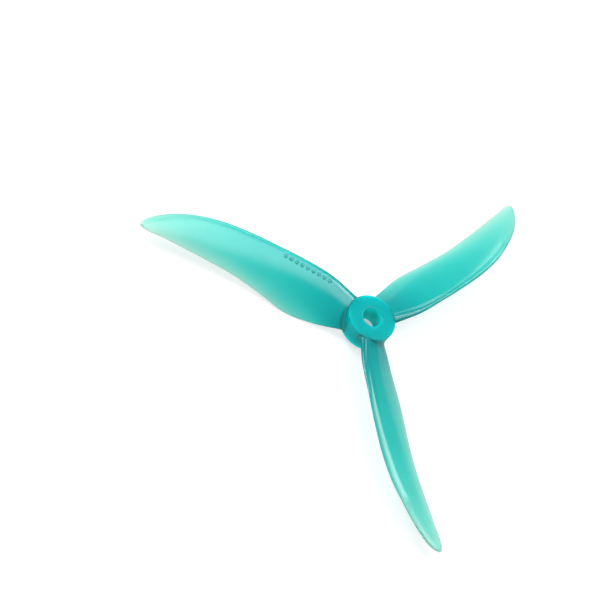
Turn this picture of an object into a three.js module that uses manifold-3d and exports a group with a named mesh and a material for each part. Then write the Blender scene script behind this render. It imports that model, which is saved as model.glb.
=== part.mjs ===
// A three-blade push-on propeller for a small racing drone, moulded in clear tinted plastic.
// Millimetres, +Z along the spin axis. The origin is the centre of the hub's underside, the
// face that sits on the motor. Seen from above (+Z) the propeller turns clockwise.
// The real thing is one moulding; here its hub and its three blades are separate solids.

import * as THREE from "three";
import { mergeVertices } from "three/addons/utils/BufferGeometryUtils.js";
import Module from "manifold-3d";

// ---- driving dimensions ----------------------------------------------------

const TIP_RADIUS = 64.8; // 5.1 inch propeller
const BLADE_COUNT = 3;

const HUB_RADIUS = 6.6;
const HUB_HEIGHT = 5.8;
const HUB_EDGE = 0.3; // radius of the rounded rims
const BORE_RADIUS = 2.5; // runs on a 5 mm motor shaft
const BORE_LEAD = 0.3; // height and width of the cone that leads the shaft's thread in
const RECESS_RADIUS = 4.0; // relief under the hub, around the shaft's root
const RECESS_DEPTH = 0.5;

const JOIN_GAP = 0.3; // between the hub's wall and a blade's root
const FILLET_RADIUS = 1.0; // where a blade grows out of the hub
const TRAILING_THICKNESS = 0.45;
const CAMBER = 0.045; // rise of the mean line, as a share of the chord

// One blade, laid along +X. Each station is at a distance r from the axis and gives the place
// of the leading edge (y forward of the radial line is negative, z above the seat), the chord,
// the blade angle in degrees and the greatest thickness.
const STATIONS = [
  { r: 2.0, y: -3.8, z: 4.4, chord: 8.0, angle: 22.0, thick: 2.4 },
  { r: 6.0, y: -5.1, z: 4.9, chord: 9.9, angle: 25.0, thick: 2.3 },
  { r: 13.0, y: -7.3, z: 5.8, chord: 13.4, angle: 30.0, thick: 2.05 },
  { r: 21.0, y: -8.5, z: 6.1, chord: 14.9, angle: 31.0, thick: 1.8 },
  { r: 29.0, y: -9.4, z: 5.8, chord: 13.6, angle: 27.0, thick: 1.6 },
  { r: 37.0, y: -10.0, z: 5.5, chord: 12.3, angle: 23.5, thick: 1.45 },
  { r: 45.0, y: -9.8, z: 5.3, chord: 11.2, angle: 21.5, thick: 1.3 },
  { r: 52.0, y: -8.5, z: 5.0, chord: 9.4, angle: 20.0, thick: 1.15 },
  { r: 58.0, y: -6.6, z: 4.1, chord: 7.0, angle: 15.5, thick: 1.0 },
  { r: 62.0, y: -4.5, z: 3.1, chord: 4.75, angle: 9.0, thick: 0.85 },
  { r: 64.1, y: -2.7, z: 2.65, chord: 2.55, angle: 4.0, thick: 0.7 },
  { r: TIP_RADIUS, y: -1.45, z: 2.35, chord: 0.9, angle: 0.0, thick: 0.5 },
];

// ---- fineness of the solids ------------------------------------------------

const HUB_SEGMENTS = 72;
const SIDE_POINTS = 12; // along each side of a blade section
const SECTIONS = 36; // from root to tip

// ---- materials -------------------------------------------------------------

function tintedPlastic(colour) {
  return new THREE.MeshStandardMaterial({ color: colour, roughness: 0.15, metalness: 0 });
}

// ---- solids ----------------------------------------------------------------

const wasm = await Module();
wasm.setup();

function toSolid(geometry) {
  const bare = geometry.clone();
  bare.deleteAttribute("normal");
  bare.deleteAttribute("uv");
  const merged = mergeVertices(bare, 1e-4);
  const mesh = new wasm.Mesh({
    numProp: 3,
    vertProperties: new Float32Array(merged.attributes.position.array),
    triVerts: new Uint32Array(merged.index.array),
  });
  return new wasm.Manifold(mesh);
}

function toGeometry(solid) {
  const mesh = solid.getMesh();
  const geometry = new THREE.BufferGeometry();
  geometry.setAttribute("position", new THREE.BufferAttribute(mesh.vertProperties, 3));
  geometry.setIndex(new THREE.BufferAttribute(mesh.triVerts, 1));
  geometry.computeVertexNormals();
  return geometry;
}

// Points of a quarter round, centred at (r, z), from angle a to angle a + 90 degrees.
function quarterRound(r, z, radius, a) {
  const steps = 3;
  return Array.from({ length: steps + 1 }, (_, i) => {
    const t = a + (i / steps) * (Math.PI / 2);
    return new THREE.Vector2(r + radius * Math.cos(t), z + radius * Math.sin(t));
  });
}

// Turns a closed profile of (radius, height) points about the Z axis.
function turned(profile) {
  const lathe = new THREE.LatheGeometry([...profile, profile[0]], HUB_SEGMENTS);
  return lathe.rotateX(Math.PI / 2);
}

function hubGeometry() {
  const wall = HUB_RADIUS - HUB_EDGE;
  return turned([
    new THREE.Vector2(RECESS_RADIUS, 0),
    ...quarterRound(wall, HUB_EDGE, HUB_EDGE, -Math.PI / 2),
    ...quarterRound(wall, HUB_HEIGHT - HUB_EDGE, HUB_EDGE, 0),
    new THREE.Vector2(BORE_RADIUS + BORE_LEAD, HUB_HEIGHT),
    new THREE.Vector2(BORE_RADIUS, HUB_HEIGHT - BORE_LEAD),
    new THREE.Vector2(BORE_RADIUS, RECESS_DEPTH),
    new THREE.Vector2(RECESS_RADIUS, RECESS_DEPTH),
  ]);
}

// ---- blade -----------------------------------------------------------------

const STATION_CURVES = {
  lead: new THREE.CatmullRomCurve3(
    STATIONS.map((s) => new THREE.Vector3(s.r, s.y, s.z)), false, "catmullrom",
  ),
  shape: new THREE.CatmullRomCurve3(
    STATIONS.map((s) => new THREE.Vector3(s.chord, s.angle, s.thick)), false, "catmullrom",
  ),
};

// The blade's section at a share u of the way along the stations.
function station(u) {
  const lead = STATION_CURVES.lead.getPoint(u);
  const shape = STATION_CURVES.shape.getPoint(u);
  const angle = THREE.MathUtils.degToRad(shape.y);
  return { lead, chord: Math.max(shape.x, 0), angle, thick: shape.z };
}

// Half thickness of the section at a share c of the chord, for a greatest thickness of 1.
function halfThickness(c) {
  const round = 0.2969 * Math.sqrt(c);
  return 5 * (round - 0.126 * c - 0.3516 * c ** 2 + 0.2843 * c ** 3 - 0.1015 * c ** 4);
}

// How far the fillet stands off the blade, at a distance d from the hub's wall.
function filletRise(d) {
  const left = Math.min(Math.max(1 - d / FILLET_RADIUS, 0), 1);
  return FILLET_RADIUS * (1 - Math.sqrt(1 - left ** 2));
}

// The closed outline of one section: over the top from trailing to leading edge, and back.
function sectionLoop(u) {
  const { lead, chord, angle, thick } = station(u);
  const along = new THREE.Vector3(0, Math.cos(angle), -Math.sin(angle));
  const up = new THREE.Vector3(0, Math.sin(angle), Math.cos(angle));
  const point = (c, side) => {
    const rise = 4 * CAMBER * chord * c * (1 - c);
    const half = thick * halfThickness(c) + (TRAILING_THICKNESS / 2) * c;
    const place = lead.clone().addScaledVector(along, c * chord);
    const stand = filletRise(Math.hypot(place.x, place.y) - HUB_RADIUS);
    return place.addScaledVector(up, rise + side * (half + stand));
  };
  const shares = Array.from({ length: SIDE_POINTS }, (_, i) => {
    return (1 - Math.cos((i / (SIDE_POINTS - 1)) * Math.PI)) / 2;
  });
  const top = shares.map((c) => point(c, 1)).reverse();
  const under = shares.slice(1).map((c) => point(c, -1));
  return [...top, ...under];
}

// Skins a row of closed loops, all with the same number of points, and caps both ends.
function lofted(loops) {
  const count = loops[0].length;
  const positions = loops.flat().flatMap((p) => [p.x, p.y, p.z]);
  const faces = [];
  for (let s = 0; s + 1 < loops.length; s += 1) {
    for (let i = 0; i < count; i += 1) {
      const a = s * count + i;
      const b = s * count + ((i + 1) % count);
      faces.push(a, b, b + count, a, b + count, a + count);
    }
  }
  const last = (loops.length - 1) * count;
  for (let i = 0; i < SIDE_POINTS - 1; i += 1) {
    const j = count - 1 - i;
    const quad = i + 2 < j ? [i, j, j - 1, i, j - 1, i + 1] : [i, j, i + 1];
    faces.push(...quad);
    faces.push(...quad.map((v) => last + v).reverse());
  }
  const geometry = new THREE.BufferGeometry();
  geometry.setAttribute("position", new THREE.Float32BufferAttribute(positions, 3));
  geometry.setIndex(faces);
  return geometry;
}

// Shares along the stations, closing up towards the round of the tip.
function sectionShares() {
  return Array.from({ length: SECTIONS }, (_, i) => {
    return Math.sin((i / (SECTIONS - 1)) * (Math.PI / 2) );
  });
}

function bladeGeometry() {
  const blade = toSolid(lofted(sectionShares().map(sectionLoop)));
  const reach = 4 * HUB_HEIGHT;
  const clear = new THREE.CylinderGeometry(
    HUB_RADIUS + JOIN_GAP, HUB_RADIUS + JOIN_GAP, reach, HUB_SEGMENTS,
  ).rotateX(Math.PI / 2);
  return toGeometry(blade.subtract(toSolid(clear)));
}

// ---- assembly --------------------------------------------------------------

const propeller = new THREE.Group();

const hub = new THREE.Mesh(hubGeometry(), tintedPlastic(0x00a9ad));
hub.name = "hub";
propeller.add(hub);

for (let i = 0; i < BLADE_COUNT; i += 1) {
  const blade = new THREE.Mesh(bladeGeometry(), tintedPlastic(0x4fd3c8));
  blade.name = `blade_${i + 1}`;
  blade.rotation.z = (i / BLADE_COUNT) * 2 * Math.PI;
  propeller.add(blade);
}

export default propeller;
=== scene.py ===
"""A clear teal racing drone propeller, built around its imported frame.

Sizes are in metres unless a name says otherwise. +Z runs along the spin axis, the origin is the
centre of the hub's underside, and seen from above the propeller turns clockwise.
"""

import math

import bpy
from mathutils import Matrix, Quaternion, Vector


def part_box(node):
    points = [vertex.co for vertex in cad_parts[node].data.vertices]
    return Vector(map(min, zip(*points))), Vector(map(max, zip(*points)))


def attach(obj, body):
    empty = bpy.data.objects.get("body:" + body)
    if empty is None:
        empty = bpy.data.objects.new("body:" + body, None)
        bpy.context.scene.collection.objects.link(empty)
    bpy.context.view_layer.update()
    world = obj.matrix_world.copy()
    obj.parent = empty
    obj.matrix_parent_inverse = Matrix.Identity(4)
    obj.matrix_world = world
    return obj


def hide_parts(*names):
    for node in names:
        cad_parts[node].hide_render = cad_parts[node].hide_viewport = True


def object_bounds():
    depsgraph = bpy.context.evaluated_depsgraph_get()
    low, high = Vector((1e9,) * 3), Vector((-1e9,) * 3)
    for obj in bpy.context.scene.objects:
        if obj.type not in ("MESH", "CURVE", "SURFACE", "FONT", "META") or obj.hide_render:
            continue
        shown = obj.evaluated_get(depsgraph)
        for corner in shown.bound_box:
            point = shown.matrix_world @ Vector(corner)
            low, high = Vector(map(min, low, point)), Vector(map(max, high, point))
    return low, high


bl_info = {
    "name": "Drone Propeller",
    "version": (1, 0, 0),
    "blender": (4, 5, 0),
    "location": "3D View > Sidebar > Propeller",
    "description": "Builds a clear tinted drone propeller with its hub and its swept blades",
    "category": "Object",
}

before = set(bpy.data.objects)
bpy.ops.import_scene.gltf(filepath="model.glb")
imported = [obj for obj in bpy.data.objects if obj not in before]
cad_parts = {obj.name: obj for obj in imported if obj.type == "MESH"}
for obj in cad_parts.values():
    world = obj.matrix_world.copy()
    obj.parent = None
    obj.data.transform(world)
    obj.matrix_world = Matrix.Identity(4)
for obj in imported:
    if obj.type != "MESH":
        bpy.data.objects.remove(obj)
CAD_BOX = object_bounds()

MM = 0.001
BODY = "root"
HUB_NODE = "hub"
BLADE_NODES = sorted(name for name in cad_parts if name.startswith("blade_"))

HUB_LOW, HUB_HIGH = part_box(HUB_NODE)
HUB_RADIUS = (HUB_HIGH.x - HUB_LOW.x) / 2
HUB_HEIGHT = HUB_HIGH.z - HUB_LOW.z
TIP_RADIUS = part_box(BLADE_NODES[0])[1].x

# One blade, laid along +X, in millimetres and degrees: distance from the axis, the leading
# edge's y and z, the chord, the blade angle and the greatest thickness.
STATIONS = (
    (2.0, -3.8, 4.4, 8.0, 22.0, 2.4),
    (6.0, -5.1, 4.9, 9.9, 25.0, 2.3),
    (13.0, -7.3, 5.8, 13.4, 30.0, 2.05),
    (21.0, -8.5, 6.1, 14.9, 31.0, 1.8),
    (29.0, -9.4, 5.8, 13.6, 27.0, 1.6),
    (37.0, -10.0, 5.5, 12.3, 23.5, 1.45),
    (45.0, -9.8, 5.3, 11.2, 21.5, 1.3),
    (52.0, -8.5, 5.0, 9.4, 20.0, 1.15),
    (58.0, -6.6, 4.1, 7.0, 15.5, 1.0),
    (62.0, -4.5, 3.1, 4.75, 9.0, 0.85),
    (64.1, -2.7, 2.65, 2.55, 4.0, 0.7),
    (TIP_RADIUS / MM, -1.45, 2.35, 0.9, 0.0, 0.5),
)

HUB_SEGMENTS = 192
RIM_STEPS = 6
SIDE_POINTS = 44  # along each side of a blade section
FILLET_LOOPS = 12
SPAN_LOOPS = 130
PIP_SEGMENTS = 20
MARK_POINTS = 25  # along the line that the pips stand on
RING_OUT = 0.5 * MM  # from the lead-in cone to the fine ring round it
SEAM = 0.015 * MM  # between the hub's wall and a blade's root
WRAP_REACH = 7 * MM  # from the root to where the blade's loops no longer follow the hub's wall
ROOT_SEARCH = (1.0 * MM, 9.0 * MM)  # distances between which a blade's skin meets the hub's wall
ROOT_HALVINGS = 30
NO_FILLET = 0.01 * MM
LEAST_FILLET = 0.1 * MM
UPRIGHT_LIFT = 0.05  # a skin that faces up or down by less than this has all the room it needs
EASING_PASSES = 6
MARK_SHARE = 0.13  # of the chord, where the row of pips runs

# How much plastic light crosses. It sets how deep the colour is; at the bore it is set shallower, as
# painted light.
HUB_DEPTH_MM = 3.8  # in the barrel
BORE_PAINTED_LIGHT_DEPTH_MM = 2.2  # painted light: shallower than the barrel, so the bore is coloured lighter, standing in for light that reaches it through the plastic
BORE_BAND = 0.1 * MM  # width of the band outside the bore that is painted lighter along with the bore
PIP_DEPTH_MM = 1.9
ROOT_DEPTH_MM = 4.0  # extra, where a blade grows out of the hub
ROOT_FADE = 4.5 * MM  # the distance over which that fades
DEEPEST_MM = 3.6  # past this depth the plastic looks no deeper
NOSE_SHARE = 0.28  # ahead of this share of the chord, light crosses as much as at it
FADE_START = 34 * MM  # from here out to the tip, the blade looks thinner than it is
FADE_LENGTH = 28 * MM
TIP_THINNING = 0.45
TIP_NOSE_CUT = 0.6

# The plastic's surface.
HAZE = 0.05
HAZE_SCALE = 260.0
WAVE_SCALE = 120.0
BLADE_WAVES = 0.003 * MM
HUB_WAVES = 0.0006 * MM
HUB_ROUGHNESS = 0.16
PIP_ROUGHNESS = 0.15
FULL_SHINE = 0.5
HUB_SHINE = 0.12
HUB_MILKINESS = 1.0
SCATTER_LENGTH = 8.0 * MM
SCATTER_SHARES = (0.1, 1.0, 1.0)  # of that length, in red, green and blue


# ---- sizes and colours that a user would change ----------------------------


class HubSizes(bpy.types.PropertyGroup):
    bore_radius: bpy.props.FloatProperty(
        name="Bore radius", description="Radius of the hole for the motor shaft",
        default=2.5 * MM, unit="LENGTH",
    )
    lead_in: bpy.props.FloatProperty(
        name="Lead-in", description="Width of the cone at the top of the bore",
        default=0.3 * MM, unit="LENGTH",
    )
    rim_radius: bpy.props.FloatProperty(
        name="Rim radius", description="Rounding of the hub's two rims",
        default=0.3 * MM, unit="LENGTH",
    )
    relief_radius: bpy.props.FloatProperty(
        name="Relief radius", description="Radius of the relief under the hub",
        default=4.0 * MM, unit="LENGTH",
    )
    relief_depth: bpy.props.FloatProperty(
        name="Relief depth", description="Depth of the relief under the hub",
        default=0.5 * MM, unit="LENGTH",
    )


class BladeSizes(bpy.types.PropertyGroup):
    camber: bpy.props.FloatProperty(
        name="Camber", description="Rise of the mean line as a share of the chord",
        default=0.045, subtype="FACTOR",
    )
    trailing_thickness: bpy.props.FloatProperty(
        name="Trailing edge", description="Thickness of the trailing edge",
        default=0.45 * MM, unit="LENGTH",
    )
    fillet_radius: bpy.props.FloatProperty(
        name="Root fillet", description="Radius where a blade grows out of the hub",
        default=0.7 * MM, unit="LENGTH",
    )
    rim_gap: bpy.props.FloatProperty(
        name="Rim gap", description="Height that a root keeps from the hub's two faces",
        default=0.35 * MM, unit="LENGTH",
    )


class MarkSizes(bpy.types.PropertyGroup):
    pip_radius: bpy.props.FloatProperty(
        name="Pip radius", description="Radius of one moulded pip", default=0.55 * MM,
        unit="LENGTH",
    )
    pip_height: bpy.props.FloatProperty(
        name="Pip height", description="Height of a pip above the blade", default=0.18 * MM,
        unit="LENGTH",
    )
    pip_count: bpy.props.IntProperty(
        name="Pips", description="Number of pips in the row", default=9, min=2, max=20,
    )
    first_reach: bpy.props.FloatProperty(
        name="First pip", description="Distance of the first pip from the spin axis",
        default=13.5 * MM, unit="LENGTH",
    )
    last_reach: bpy.props.FloatProperty(
        name="Last pip", description="Distance of the last pip from the spin axis",
        default=26.5 * MM, unit="LENGTH",
    )


class PlasticLooks(bpy.types.PropertyGroup):
    tint: bpy.props.FloatVectorProperty(
        name="Tint", description="Light left after one millimetre of the plastic",
        default=(0.13, 0.80, 0.84), subtype="COLOR",
    )
    skin_colour: bpy.props.FloatVectorProperty(
        name="Skin", description="Colour of the plastic where it is thinnest",
        default=(1.0, 1.0, 0.845), subtype="COLOR",
    )
    blade_clearness: bpy.props.FloatProperty(
        name="Blade clearness", description="Share of light that passes through a blade",
        default=0.5, subtype="FACTOR",
    )
    hub_clearness: bpy.props.FloatProperty(
        name="Hub clearness", description="Share of light that passes through the hub",
        default=0.05, subtype="FACTOR",
    )
    roughness: bpy.props.FloatProperty(
        name="Roughness", description="Roughness of the polished mould faces",
        default=0.1, subtype="FACTOR",
    )


class StageLooks(bpy.types.PropertyGroup):
    floor_colour: bpy.props.FloatVectorProperty(
        name="Floor colour", description="Colour of the plain floor",
        default=(0.36, 0.36, 0.36), subtype="COLOR",
    )
    floor_glow: bpy.props.FloatProperty(
        name="Floor glow", description="Light that the floor gives off, as a light table does",
        default=0.74,
    )
    key_power: bpy.props.FloatProperty(
        name="Key light", description="Power of the softbox that lights the propeller",
        default=4.2, unit="POWER",
    )
    glow: bpy.props.FloatProperty(
        name="Overhead glow", description="Strength of the feathered light overhead", default=3.5,
    )
    fill: bpy.props.FloatProperty(
        name="Fill", description="Strength of the even light from all round", default=0.22,
    )


# ---- small helpers ---------------------------------------------------------


def link(obj):
    bpy.context.scene.collection.objects.link(obj)
    return obj


def new_mesh_object(name, vertices, faces, walls):
    """A smooth closed piece, with the wall thickness in millimetres stored at every vertex."""
    mesh = bpy.data.meshes.new(name)
    mesh.from_pydata([tuple(v) for v in vertices], [], faces)
    mesh.validate()
    mesh.shade_smooth()
    attribute = mesh.attributes.new("wall", "FLOAT", "POINT")
    attribute.data.foreach_set("value", walls)
    mesh.update()
    return link(bpy.data.objects.new(name, mesh))


def finish_piece(piece, material, *nodes):
    if not piece.data.materials:
        piece.data.materials.append(material)
    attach(piece, BODY)
    if nodes:
        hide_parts(*nodes)


# ---- plastic ---------------------------------------------------------------


def group_socket(group, name, kind, way, default=None):
    socket = group.interface.new_socket(name, in_out=way, socket_type=kind)
    if default is not None:
        socket.default_value = default
    return socket


def wall_tint_group():
    """Colour of the plastic by its depth: each millimetre lets the same share of light through."""
    group = bpy.data.node_groups.get("Wall Tint")
    if group:
        return group
    group = bpy.data.node_groups.new("Wall Tint", "ShaderNodeTree")
    group_socket(group, "Wall (mm)", "NodeSocketFloat", "INPUT", 1.0)
    group_socket(group, "Skin", "NodeSocketColor", "INPUT")
    group_socket(group, "One Millimetre", "NodeSocketColor", "INPUT")
    group_socket(group, "Colour", "NodeSocketColor", "OUTPUT")
    nodes, links = group.nodes, group.links
    given = nodes.new("NodeGroupInput")
    out = nodes.new("NodeGroupOutput")
    tint = nodes.new("ShaderNodeSeparateColor")
    links.new(given.outputs["One Millimetre"], tint.inputs["Color"])
    passed = nodes.new("ShaderNodeCombineColor")
    for channel in ("Red", "Green", "Blue"):
        power = nodes.new("ShaderNodeMath")
        power.operation = "POWER"
        links.new(tint.outputs[channel], power.inputs[0])
        links.new(given.outputs["Wall (mm)"], power.inputs[1])
        links.new(power.outputs[0], passed.inputs[channel])
    skin = nodes.new("ShaderNodeMix")
    skin.data_type = "RGBA"
    skin.blend_type = "MULTIPLY"
    skin.inputs["Factor"].default_value = 1.0
    links.new(passed.outputs["Color"], skin.inputs["A"])
    links.new(given.outputs["Skin"], skin.inputs["B"])
    links.new(skin.outputs["Result"], out.inputs["Colour"])
    return group


def mould_finish_group():
    """Fine handling haze and the slight waviness of moulded plastic."""
    group = bpy.data.node_groups.get("Mould Finish")
    if group:
        return group
    group = bpy.data.node_groups.new("Mould Finish", "ShaderNodeTree")
    group_socket(group, "Roughness", "NodeSocketFloat", "INPUT", 0.1)
    group_socket(group, "Haze", "NodeSocketFloat", "INPUT", HAZE)
    group_socket(group, "Roughness", "NodeSocketFloat", "OUTPUT")
    group_socket(group, "Height", "NodeSocketFloat", "OUTPUT")
    nodes, links = group.nodes, group.links
    given = nodes.new("NodeGroupInput")
    out = nodes.new("NodeGroupOutput")
    place = nodes.new("ShaderNodeTexCoord")
    haze = nodes.new("ShaderNodeTexNoise")
    haze.inputs["Scale"].default_value = HAZE_SCALE
    haze.inputs["Detail"].default_value = 4.0
    links.new(place.outputs["Object"], haze.inputs["Vector"])
    spread = nodes.new("ShaderNodeMath")
    spread.operation = "MULTIPLY_ADD"
    links.new(haze.outputs["Fac"], spread.inputs[0])
    links.new(given.outputs["Haze"], spread.inputs[1])
    links.new(given.outputs["Roughness"], spread.inputs[2])
    links.new(spread.outputs[0], out.inputs["Roughness"])
    waves = nodes.new("ShaderNodeTexNoise")
    waves.inputs["Scale"].default_value = WAVE_SCALE
    waves.inputs["Detail"].default_value = 1.0
    links.new(place.outputs["Object"], waves.inputs["Vector"])
    links.new(waves.outputs["Fac"], out.inputs["Height"])
    return group


def plastic_material(
    name, looks, clearness, roughness, wave_height, shine=FULL_SHINE, milkiness=0.0
):
    """Tinted plastic, deeper in colour where the "wall" stored at its vertices is greater."""
    material = bpy.data.materials.new(name)
    material.use_nodes = True
    nodes, links = material.node_tree.nodes, material.node_tree.links
    shader = nodes["Principled BSDF"]
    shader.inputs["IOR"].default_value = 1.5
    shader.inputs["Specular IOR Level"].default_value = shine
    shader.inputs["Transmission Weight"].default_value = clearness
    shader.inputs["Subsurface Weight"].default_value = milkiness
    shader.inputs["Subsurface Radius"].default_value = SCATTER_SHARES
    shader.inputs["Subsurface Scale"].default_value = SCATTER_LENGTH
    wall = nodes.new("ShaderNodeAttribute")
    wall.attribute_name = "wall"
    tint = nodes.new("ShaderNodeGroup")
    tint.node_tree = wall_tint_group()
    tint.inputs["Skin"].default_value = (*looks.skin_colour, 1.0)
    tint.inputs["One Millimetre"].default_value = (*looks.tint, 1.0)
    links.new(wall.outputs["Fac"], tint.inputs["Wall (mm)"])
    links.new(tint.outputs["Colour"], shader.inputs["Base Color"])
    finish = nodes.new("ShaderNodeGroup")
    finish.node_tree = mould_finish_group()
    finish.inputs["Roughness"].default_value = roughness
    finish.inputs["Haze"].default_value = HAZE
    links.new(finish.outputs["Roughness"], shader.inputs["Roughness"])
    bump = nodes.new("ShaderNodeBump")
    bump.inputs["Strength"].default_value = 1.0
    bump.inputs["Distance"].default_value = wave_height
    links.new(finish.outputs["Height"], bump.inputs["Height"])
    links.new(bump.outputs["Normal"], shader.inputs["Normal"])
    return material


# ---- hub -------------------------------------------------------------------


def rim(radius, height, size, start):
    """Points of a quarter round about (radius, height) from the angle start, held flat outside."""
    turn = math.pi / 2
    hold = 0.06 * MM
    points = []
    for i in range(RIM_STEPS + 1):
        a = start + turn * i / RIM_STEPS
        points.append((radius + size * math.cos(a), height + size * math.sin(a)))
    before = (points[0][0] + hold * math.sin(start), points[0][1] - hold * math.cos(start))
    end = start + turn
    after = (points[-1][0] - hold * math.sin(end), points[-1][1] + hold * math.cos(end))
    return [before, *points, after]


def ring_groove(radius, height):
    """A fine turned groove in the top face, walked inwards."""
    width, depth = 0.09 * MM, 0.035 * MM
    return [
        (radius + 1.5 * width, height),
        (radius + width, height),
        (radius + width / 2, height - depth),
        (radius - width / 2, height - depth),
        (radius - width, height),
        (radius - 1.5 * width, height),
    ]


def hub_profile(sizes):
    """The closed outline of the hub's ring, as (radius, height), outside going up."""
    wall = HUB_RADIUS - sizes.rim_radius
    soft = sizes.rim_radius / 3
    bore = sizes.bore_radius
    top_cone = bore + sizes.lead_in
    relief = sizes.relief_radius
    return [
        (relief + soft, 0.0),
        *rim(wall, sizes.rim_radius, sizes.rim_radius, -math.pi / 2),
        *rim(wall, HUB_HEIGHT - sizes.rim_radius, sizes.rim_radius, 0.0),
        *ring_groove(top_cone + RING_OUT, HUB_HEIGHT),
        (top_cone + soft, HUB_HEIGHT),
        (top_cone, HUB_HEIGHT - soft / 4),
        (bore + soft / 2, HUB_HEIGHT - sizes.lead_in + soft / 4),
        (bore, HUB_HEIGHT - sizes.lead_in - soft),
        (bore, sizes.relief_depth + soft),
        (bore + soft, sizes.relief_depth),
        (relief - soft, sizes.relief_depth),
        (relief, sizes.relief_depth - soft),
        (relief, soft),
    ]


def turned(profile, segments):
    """Vertices and faces of a closed profile turned about the Z axis, facing out."""
    count = len(profile)
    vertices = []
    for i in range(segments):
        a = 2 * math.pi * i / segments
        vertices += [Vector((r * math.cos(a), r * math.sin(a), z)) for r, z in profile]
    faces = []
    for i in range(segments):
        here, there = i * count, ((i + 1) % segments) * count
        for j in range(count):
            k = (j + 1) % count
            faces.append((here + j, there + j, there + k, here + k))
    return vertices, faces


# ---- blade -----------------------------------------------------------------


def station_at(reach):
    """Leading edge, chord, angle and thickness at a distance from the axis, by smooth curves."""
    rows = STATIONS
    reach = min(max(reach / MM, rows[0][0]), rows[-1][0])
    i = max(k for k in range(len(rows) - 1) if rows[k][0] <= reach)
    a, b = rows[i], rows[i + 1]
    before, after = rows[max(i - 1, 0)], rows[min(i + 2, len(rows) - 1)]
    width = b[0] - a[0]
    t = (reach - a[0]) / width

    def eased(column):
        slope_a = (b[column] - before[column]) / (b[0] - before[0]) * width
        slope_b = (after[column] - a[column]) / (after[0] - a[0]) * width
        return (
            (2 * t**3 - 3 * t**2 + 1) * a[column]
            + (t**3 - 2 * t**2 + t) * slope_a
            + (3 * t**2 - 2 * t**3) * b[column]
            + (t**3 - t**2) * slope_b
        )

    y, z, chord, angle, thick = (eased(column) for column in range(1, 6))
    return y * MM, z * MM, max(chord, 0.0) * MM, math.radians(angle), thick * MM


def half_thickness(c):
    """Half the section's thickness at a share c of the chord, for a greatest thickness of 1."""
    bend = 0.2969 * math.sqrt(c) - 0.126 * c - 0.3516 * c**2 + 0.2843 * c**3 - 0.1015 * c**4
    return 5 * bend


def half_wall(reach, c, sizes):
    """Half the blade's thickness, with the section's thin tail swapped for a rounded edge."""
    _y, _z, chord, _angle, thick = station_at(reach)
    edge = sizes.trailing_thickness
    round_off = math.sqrt(min(2 * max(1 - c, 0.0) * chord / edge, 1.0))
    return thick * half_thickness(c) * (1 - c**12) + edge / 2 * c * round_off


def plain_point(reach, turn, sizes):
    """A point of the blade without its fillet.

    turn goes round the section in radians: from the trailing edge over the top to the leading
    edge, and back underneath.
    """
    y, z, chord, angle, _thick = station_at(reach)
    along = Vector((0, math.cos(angle), -math.sin(angle)))
    up = Vector((0, math.sin(angle), math.cos(angle)))
    c = (1 + math.cos(turn)) / 2
    side = 1 if turn % (2 * math.pi) < math.pi else -1
    rise = 4 * sizes.camber * chord * c * (1 - c)
    off = rise + side * half_wall(reach, c, sizes)
    return Vector((reach, y, z)) + along * (c * chord) + up * off


def section_normal(reach, turn, sizes):
    """The direction straight out of the section's outline."""
    step = 0.01
    ahead = plain_point(reach, turn + step, sizes)
    behind = plain_point(reach, turn - step, sizes)
    return (ahead - behind).cross(Vector((1, 0, 0))).normalized()


def fillet_rise(distance, radius):
    """How far the root fillet stands off the blade, at a distance from the hub's wall."""
    left = min(max(1 - distance / radius, 0.0), 1.0)
    return radius * (1 - math.sqrt(1 - left**2))


def skin_point(reach, turn, radius, sizes):
    """A point of the blade's skin, which flares out to meet the hub's wall."""
    point = plain_point(reach, turn, sizes)
    distance = math.hypot(point.x, point.y) - HUB_RADIUS
    if distance > radius:
        return point
    normal = section_normal(reach, turn, sizes)
    outwards = Vector((point.x, point.y, 0)).normalized()
    along_wall = (normal - outwards * normal.dot(outwards)).normalized()
    return point + along_wall * fillet_rise(distance, radius)


def wall_reach(turn, radius, sizes):
    """The reach at which this line of the skin meets the hub's wall."""
    low, high = ROOT_SEARCH
    for _ in range(ROOT_HALVINGS):
        middle = (low + high) / 2
        point = skin_point(middle, turn, radius, sizes)
        if math.hypot(point.x, point.y) < HUB_RADIUS + SEAM:
            low = middle
        else:
            high = middle
    return (low + high) / 2


def flare_radii(turns, sizes):
    """The fillet's radius round the root: smaller where the hub leaves less room, and eased."""
    radii = []
    for turn in turns:
        reach = wall_reach(turn, NO_FILLET, sizes)
        height = plain_point(reach, turn, sizes).z
        lift = section_normal(reach, turn, sizes).z
        room = sizes.fillet_radius
        if lift > UPRIGHT_LIFT:
            room = (HUB_HEIGHT - sizes.rim_gap - height) / lift
        if lift < -UPRIGHT_LIFT:
            room = (sizes.rim_gap - height) / lift
        radii.append(min(max(room, LEAST_FILLET), sizes.fillet_radius))
    count = len(radii)
    for _ in range(EASING_PASSES):
        radii = [(radii[i - 1] + radii[i] + radii[(i + 1) % count]) / 3 for i in range(count)]
    return radii


def span_steps(sizes):
    """Distances of the blade's loops from its root, packed in the fillet and at the tip."""
    radius = sizes.fillet_radius
    turn = math.pi / 2
    near = [radius * (1 - math.cos(turn * i / FILLET_LOOPS)) for i in range(FILLET_LOOPS)]
    span = TIP_RADIUS - HUB_RADIUS - SEAM - radius
    return near + [radius + span * math.sin(turn * i / SPAN_LOOPS) for i in range(SPAN_LOOPS + 1)]


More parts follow.
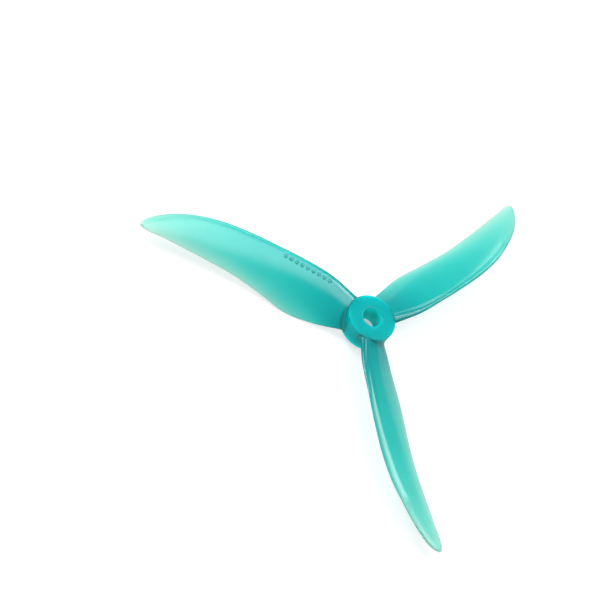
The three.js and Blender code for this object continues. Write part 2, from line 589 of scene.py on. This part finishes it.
def light_depth(reach, c, sizes):
    """Millimetres of plastic that light crosses: more at the nose and root, less at the tip."""
    fade = min(max((reach - FADE_START) / FADE_LENGTH, 0.0), 1.0)
    thinning = 1 - TIP_THINNING * fade
    nose = NOSE_SHARE * (1 - TIP_NOSE_CUT * fade)
    wall = 2 * half_wall(reach, max(c, nose), sizes) / MM * thinning
    root = ROOT_DEPTH_MM * math.exp(-(reach - HUB_RADIUS) / ROOT_FADE)
    deep = (wall + root) / DEEPEST_MM
    return DEEPEST_MM * deep / (1 + deep**4) ** 0.25


def blade_mesh(sizes):
    """Vertices, faces and light depths of the blade that lies along +X."""
    turns = [math.pi * i / SIDE_POINTS for i in range(2 * SIDE_POINTS)]
    count = len(turns)
    radii = flare_radii(turns, sizes)
    roots = [wall_reach(turn, radius, sizes) for turn, radius in zip(turns, radii)]
    base = HUB_RADIUS + SEAM
    vertices, depths = [], []
    for out in span_steps(sizes):
        wrap = max(1 - out / WRAP_REACH, 0.0) ** 2
        for turn, radius, root in zip(turns, radii, roots):
            reach = base + out + (root - base) * wrap
            vertices.append(skin_point(reach, turn, radius, sizes))
            depths.append(light_depth(reach, (1 + math.cos(turn)) / 2, sizes))
    loops = len(vertices) // count
    faces = []
    for s in range(loops - 1):
        for i in range(count):
            a, b = s * count + i, s * count + (i + 1) % count
            faces.append((a, b, b + count, a + count))
    last = (loops - 1) * count
    for i in range(SIDE_POINTS):
        corners = (i, i + 1, count - i - 1, (count - i) % count)
        cap = tuple(dict.fromkeys(corners))
        faces.append(tuple(last + v for v in cap))  # the tip
        faces.append(tuple(reversed(cap)))  # the root
    return vertices, faces, depths


# ---- marks -----------------------------------------------------------------


def pip_mesh(sizes):
    """A low dome with a rounded foot, closed underneath."""
    radius, height = sizes.pip_radius, sizes.pip_height
    rings = [(radius * math.sin(a), height * math.cos(a)) for a in (0.3, 0.6, 0.9, 1.2)]
    rings += [(radius, 0.0), (radius * 0.8, -height)]
    vertices = [Vector((0, 0, height)), Vector((0, 0, -height))]
    for ring_radius, z in rings:
        for k in range(PIP_SEGMENTS):
            a = 2 * math.pi * k / PIP_SEGMENTS
            vertices.append(Vector((ring_radius * math.cos(a), ring_radius * math.sin(a), z)))
    top, bottom, first = 0, 1, 2
    last = first + (len(rings) - 1) * PIP_SEGMENTS
    faces = []
    for k in range(PIP_SEGMENTS):
        n = (k + 1) % PIP_SEGMENTS
        faces.append((top, first + k, first + n))
        for upper in range(first, last, PIP_SEGMENTS):
            lower = upper + PIP_SEGMENTS
            faces.append((upper + k, lower + k, lower + n, upper + n))
        faces.append((bottom, last + n, last + k))
    return vertices, faces


def pip_row_tree():
    """Pips in even steps along a line, each standing straight out of the surface there."""
    tree = bpy.data.node_groups.new("Pip Row", "GeometryNodeTree")
    group_socket(tree, "Geometry", "NodeSocketGeometry", "INPUT")
    group_socket(tree, "Pip", "NodeSocketObject", "INPUT")
    group_socket(tree, "Count", "NodeSocketInt", "INPUT", 9)
    group_socket(tree, "Material", "NodeSocketMaterial", "INPUT")
    group_socket(tree, "Geometry", "NodeSocketGeometry", "OUTPUT")
    nodes, links = tree.nodes, tree.links
    given = nodes.new("NodeGroupInput")
    out = nodes.new("NodeGroupOutput")
    line = nodes.new("GeometryNodeMeshToCurve")
    spaced = nodes.new("GeometryNodeResampleCurve")
    pip = nodes.new("GeometryNodeObjectInfo")
    facing = nodes.new("GeometryNodeInputNamedAttribute")
    facing.data_type = "FLOAT_VECTOR"
    facing.inputs["Name"].default_value = "facing"
    align = nodes.new("FunctionNodeAlignRotationToVector")
    align.axis = "Z"
    placed = nodes.new("GeometryNodeInstanceOnPoints")
    real = nodes.new("GeometryNodeRealizeInstances")
    coat = nodes.new("GeometryNodeSetMaterial")
    links.new(given.outputs["Geometry"], line.inputs["Mesh"])
    links.new(line.outputs["Curve"], spaced.inputs["Curve"])
    links.new(given.outputs["Count"], spaced.inputs["Count"])
    links.new(given.outputs["Pip"], pip.inputs["Object"])
    links.new(facing.outputs["Attribute"], align.inputs["Vector"])
    links.new(spaced.outputs["Curve"], placed.inputs["Points"])
    links.new(pip.outputs["Geometry"], placed.inputs["Instance"])
    links.new(align.outputs["Rotation"], placed.inputs["Rotation"])
    links.new(placed.outputs["Instances"], real.inputs["Geometry"])
    links.new(real.outputs["Geometry"], coat.inputs["Geometry"])
    links.new(given.outputs["Material"], coat.inputs["Material"])
    links.new(coat.outputs["Geometry"], out.inputs["Geometry"])
    return tree


def socket_id(tree, name):
    for item in tree.interface.items_tree:
        if item.item_type == "SOCKET" and item.in_out == "INPUT" and item.name == name:
            return item.identifier
    raise KeyError(name)


def pip_row(name, points, facings, pip, count, material):
    """A plain mesh of pips along a line of points, made by the Pip Row tree."""
    mesh = bpy.data.meshes.new(name)
    mesh.from_pydata([tuple(v) for v in points], [(i, i + 1) for i in range(len(points) - 1)], [])
    attribute = mesh.attributes.new("facing", "FLOAT_VECTOR", "POINT")
    attribute.data.foreach_set("vector", [value for v in facings for value in v])
    row = link(bpy.data.objects.new(name, mesh))
    modifier = row.modifiers.new("pips", "NODES")
    modifier.node_group = pip_row_tree()
    modifier[socket_id(modifier.node_group, "Pip")] = pip
    modifier[socket_id(modifier.node_group, "Count")] = count
    modifier[socket_id(modifier.node_group, "Material")] = material
    bpy.context.view_layer.update()
    evaluated = row.evaluated_get(bpy.context.evaluated_depsgraph_get())
    result = bpy.data.meshes.new_from_object(evaluated)
    row.modifiers.remove(modifier)
    row.data = result
    row.data.name = name
    return row


# ---- stage -----------------------------------------------------------------

CAMERA_PLACE = Vector((-473.1, -51.9, 586.3)) * MM
CAMERA_AIM = Vector((-11.3, 15.7, 3.0)) * MM
CAMERA_ROLL = math.radians(40.25)
CAMERA_LENS_MM = 174.5
SENSOR_MM = 36.0
MIRRORED_GLOW = 0.25  # of the floor's glow, in what the plastic's skin mirrors
PAINTED_HUB_SHADOW = 0.3  # painted shadow: the share of the floor's glow left under the hub
GLOW_EDGE = 31.0  # degrees from the middle of the overhead glow to where it has faded
GLOW_TOWARDS = (-45, 75)  # azimuth and elevation in degrees
BACKDROP = 0.9
FLOOR_HALF = 1.5
LIGHT_DISTANCE = 0.8

# Each light's azimuth and elevation in degrees, its width and its height.
KEY_LIGHT = (95, 42, 0.35, 0.35)
LEFT_STRIP = (-8, 51, 0.1, 0.36)
LEFT_POWER = 0.75
RIGHT_STRIP = (22, 44, 0.16, 0.14)
RIGHT_POWER = 0.2


def add_camera():
    data = bpy.data.cameras.new("camera")
    data.lens = CAMERA_LENS_MM
    data.sensor_width = SENSOR_MM
    data.clip_start = 0.01
    data.clip_end = 20.0
    camera = link(bpy.data.objects.new("camera", data))
    level = (CAMERA_AIM - CAMERA_PLACE).to_track_quat("-Z", "Y")
    camera.rotation_mode = "QUATERNION"
    camera.rotation_quaternion = level @ Quaternion((0, 0, 1), CAMERA_ROLL)
    camera.location = CAMERA_PLACE
    bpy.context.scene.camera = camera


def direction(azimuth, elevation):
    """The unit vector at an azimuth from +X and an elevation above the floor, in degrees."""
    a, e = math.radians(azimuth), math.radians(elevation)
    return Vector((math.cos(e) * math.cos(a), math.cos(e) * math.sin(a), math.sin(e)))


def add_softbox(name, place, power):
    """An area light that faces the hub from its place."""
    azimuth, elevation, width, height = place
    data = bpy.data.lights.new(name, "AREA")
    data.shape = "RECTANGLE"
    data.size = width
    data.size_y = height
    data.energy = power
    lamp = link(bpy.data.objects.new(name, data))
    away = direction(azimuth, elevation).normalized()
    lamp.location = away * LIGHT_DISTANCE
    lamp.rotation_mode = "QUATERNION"
    lamp.rotation_quaternion = away.to_track_quat("Z", "Y")


def floor_material(colour, glow):
    """A pale floor that gives off light: less in what mirrors it, and less under the hub as a painted
    shadow.

    From below it is clear.
    """
    material = bpy.data.materials.new("floor")
    material.use_nodes = True
    nodes, links = material.node_tree.nodes, material.node_tree.links
    shader = nodes["Principled BSDF"]
    shader.inputs["Base Color"].default_value = (*colour, 1.0)
    shader.inputs["Roughness"].default_value = 0.9
    shader.inputs["Specular IOR Level"].default_value = 0.0
    shader.inputs["Emission Color"].default_value = (1.0, 1.0, 1.0, 1.0)
    place = nodes.new("ShaderNodeTexCoord")
    away = nodes.new("ShaderNodeVectorMath")
    away.operation = "LENGTH"
    # painted shadow: the floor's glow fades to a share of itself under the hub
    shade = nodes.new("ShaderNodeMapRange")
    shade.interpolation_type = "SMOOTHSTEP"
    shade.inputs["From Min"].default_value = HUB_RADIUS * 0.4
    shade.inputs["From Max"].default_value = HUB_RADIUS
    shade.inputs["To Min"].default_value = glow * PAINTED_HUB_SHADOW
    shade.inputs["To Max"].default_value = glow
    links.new(place.outputs["Object"], away.inputs[0])
    links.new(away.outputs["Value"], shade.inputs["Value"])
    path = nodes.new("ShaderNodeLightPath")
    mirrored = nodes.new("ShaderNodeMath")
    mirrored.operation = "MULTIPLY"
    links.new(path.outputs["Is Glossy Ray"], mirrored.inputs[0])
    links.new(path.outputs["Is Reflection Ray"], mirrored.inputs[1])
    dimmed = nodes.new("ShaderNodeMapRange")
    dimmed.inputs["To Min"].default_value = 1.0
    dimmed.inputs["To Max"].default_value = MIRRORED_GLOW
    links.new(mirrored.outputs[0], dimmed.inputs["Value"])
    given_off = nodes.new("ShaderNodeMath")
    given_off.operation = "MULTIPLY"
    links.new(shade.outputs["Result"], given_off.inputs[0])
    links.new(dimmed.outputs["Result"], given_off.inputs[1])
    links.new(given_off.outputs[0], shader.inputs["Emission Strength"])
    back = nodes.new("ShaderNodeNewGeometry")
    clear = nodes.new("ShaderNodeBsdfTransparent")
    mix = nodes.new("ShaderNodeMixShader")
    links.new(back.outputs["Backfacing"], mix.inputs["Fac"])
    links.new(shader.outputs[0], mix.inputs[1])
    links.new(clear.outputs[0], mix.inputs[2])
    links.new(mix.outputs[0], nodes["Material Output"].inputs["Surface"])
    return material


def add_floor(colour, glow):
    half = FLOOR_HALF
    level = CAD_BOX[0].z
    mesh = bpy.data.meshes.new("floor")
    corners = [(-half, -half, level), (half, -half, level), (half, half, level), (-half, half, level)]
    mesh.from_pydata(corners, [], [(0, 1, 2, 3)])
    mesh.materials.append(floor_material(colour, glow))
    link(bpy.data.objects.new("floor", mesh))


def add_world(fill, towards, peak):
    """Even light from all round, a feathered glow overhead and a white backdrop.

    Only the camera sees the backdrop. It lights nothing.
    """
    world = bpy.data.worlds.new("studio")
    world.use_nodes = True
    nodes, links = world.node_tree.nodes, world.node_tree.links
    nodes["Background"].inputs["Color"].default_value = (1.0, 1.0, 1.0, 1.0)
    view = nodes.new("ShaderNodeTexCoord")
    facing = nodes.new("ShaderNodeVectorMath")
    facing.operation = "DOT_PRODUCT"
    facing.inputs[1].default_value = towards
    feather = nodes.new("ShaderNodeMapRange")
    feather.interpolation_type = "SMOOTHERSTEP"
    feather.inputs["From Min"].default_value = math.cos(math.radians(GLOW_EDGE))
    feather.inputs["From Max"].default_value = 1.0
    feather.inputs["To Min"].default_value = fill
    feather.inputs["To Max"].default_value = peak
    links.new(view.outputs["Generated"], facing.inputs[0])
    links.new(facing.outputs["Value"], feather.inputs["Value"])
    links.new(feather.outputs["Result"], nodes["Background"].inputs["Strength"])
    backdrop = nodes.new("ShaderNodeBackground")
    backdrop.inputs["Strength"].default_value = BACKDROP
    backdrop.inputs["Color"].default_value = (1.0, 1.0, 1.0, 1.0)
    path = nodes.new("ShaderNodeLightPath")
    mix = nodes.new("ShaderNodeMixShader")
    links.new(path.outputs["Is Camera Ray"], mix.inputs["Fac"])
    links.new(nodes["Background"].outputs[0], mix.inputs[1])
    links.new(backdrop.outputs[0], mix.inputs[2])
    links.new(mix.outputs[0], nodes["World Output"].inputs["Surface"])
    bpy.context.scene.world = world


# ---- operators -------------------------------------------------------------


class PROPELLER_OT_stage(bpy.types.Operator):
    """Set up the camera, the lights and the pale floor"""

    bl_idname = "propeller.make_stage"
    bl_label = "Stage"

    def execute(self, context):
        looks = context.scene.stage_looks
        context.scene.view_settings.view_transform = "Standard"
        add_camera()
        add_floor(looks.floor_colour, looks.floor_glow)
        add_world(looks.fill, direction(*GLOW_TOWARDS), looks.glow)
        add_softbox("key", KEY_LIGHT, looks.key_power)
        add_softbox("left strip", LEFT_STRIP, LEFT_POWER)
        add_softbox("right strip", RIGHT_STRIP, RIGHT_POWER)
        return {"FINISHED"}


class PROPELLER_OT_hub(bpy.types.Operator):
    """Turn the hub with its bore, lead-in cone and relief"""

    bl_idname = "propeller.make_hub"
    bl_label = "Hub"

    def execute(self, context):
        sizes = context.scene.hub_sizes
        looks = context.scene.plastic_looks
        vertices, faces = turned(hub_profile(sizes), HUB_SEGMENTS)
        # painted light: the bore and a thin band round it get a shallower depth, so they are coloured
        # lighter, as if lit through the plastic
        painted_bore_edge = sizes.bore_radius + BORE_BAND
        walls = [
            BORE_PAINTED_LIGHT_DEPTH_MM if math.hypot(v.x, v.y) < painted_bore_edge else HUB_DEPTH_MM for v in vertices
        ]
        hub = new_mesh_object("propeller_hub", vertices, faces, walls)
        plastic = plastic_material(
            "hub plastic", looks, looks.hub_clearness, HUB_ROUGHNESS, HUB_WAVES, HUB_SHINE,
            HUB_MILKINESS,
        )
        finish_piece(hub, plastic, HUB_NODE)
        return {"FINISHED"}


class PROPELLER_OT_blades(bpy.types.Operator):
    """Loft the three swept blades and blend them into the hub"""

    bl_idname = "propeller.make_blades"
    bl_label = "Blades"

    def execute(self, context):
        looks = context.scene.plastic_looks
        vertices, faces, walls = blade_mesh(context.scene.blade_sizes)
        plastic = plastic_material(
            "blade plastic", looks, looks.blade_clearness, looks.roughness, BLADE_WAVES
        )
        for i, node in enumerate(BLADE_NODES):
            turn = Matrix.Rotation(2 * math.pi * i / len(BLADE_NODES), 4, "Z")
            blade = new_mesh_object(
                f"propeller_{node}", [turn @ v for v in vertices], faces, walls
            )
            finish_piece(blade, plastic, node)
        return {"FINISHED"}


class PROPELLER_OT_marks(bpy.types.Operator):
    """Set a row of plain raised pips near the leading edge of one blade"""

    bl_idname = "propeller.make_marks"
    bl_label = "Mould marks"

    def execute(self, context):
        sizes, marks = context.scene.blade_sizes, context.scene.mark_sizes
        looks = context.scene.plastic_looks
        turn = Matrix.Rotation(2 * math.pi / len(BLADE_NODES), 4, "Z")
        at = math.acos(2 * MARK_SHARE - 1)
        points, facings = [], []
        span = marks.last_reach - marks.first_reach
        for i in range(MARK_POINTS):
            reach = marks.first_reach + span * i / (MARK_POINTS - 1)
            points.append(turn @ plain_point(reach, at, sizes))
            facings.append(turn @ section_normal(reach, at, sizes))
        vertices, faces = pip_mesh(marks)
        pip = new_mesh_object("pip", vertices, faces, [PIP_DEPTH_MM] * len(vertices))
        plastic = plastic_material(
            "mark plastic", looks, looks.blade_clearness, PIP_ROUGHNESS, wave_height=0.0
        )
        row = pip_row("propeller_mould_pips", points, facings, pip, marks.pip_count, plastic)
        bpy.data.objects.remove(pip)
        finish_piece(row, plastic)
        return {"FINISHED"}


class PROPELLER_PT_sidebar(bpy.types.Panel):
    """Sizes, colours and build steps of the propeller"""

    bl_idname = "PROPELLER_PT_sidebar"
    bl_label = "Propeller"
    bl_space_type = "VIEW_3D"
    bl_region_type = "UI"
    bl_category = "Propeller"

    def draw(self, context):
        for step in STEPS:
            self.layout.operator(step.bl_idname)
        for name, kind in SETTINGS.items():
            box = self.layout.box()
            for field in kind.__annotations__:
                box.prop(getattr(context.scene, name), field)


STEPS = (PROPELLER_OT_stage, PROPELLER_OT_hub, PROPELLER_OT_blades, PROPELLER_OT_marks)
SETTINGS = {
    "hub_sizes": HubSizes,
    "blade_sizes": BladeSizes,
    "mark_sizes": MarkSizes,
    "plastic_looks": PlasticLooks,
    "stage_looks": StageLooks,
}


def register():
    for kind in (*SETTINGS.values(), *STEPS, PROPELLER_PT_sidebar):
        bpy.utils.register_class(kind)
    for name, kind in SETTINGS.items():
        setattr(bpy.types.Scene, name, bpy.props.PointerProperty(type=kind))


def unregister():
    for name in SETTINGS:
        delattr(bpy.types.Scene, name)
    for kind in reversed((*SETTINGS.values(), *STEPS, PROPELLER_PT_sidebar)):
        bpy.utils.unregister_class(kind)


def main():
    register()
    bpy.ops.propeller.make_stage()
    bpy.ops.propeller.make_hub()
    bpy.ops.propeller.make_blades()
    bpy.ops.propeller.make_marks()
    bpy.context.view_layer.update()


if __name__ == "__main__":
    main()
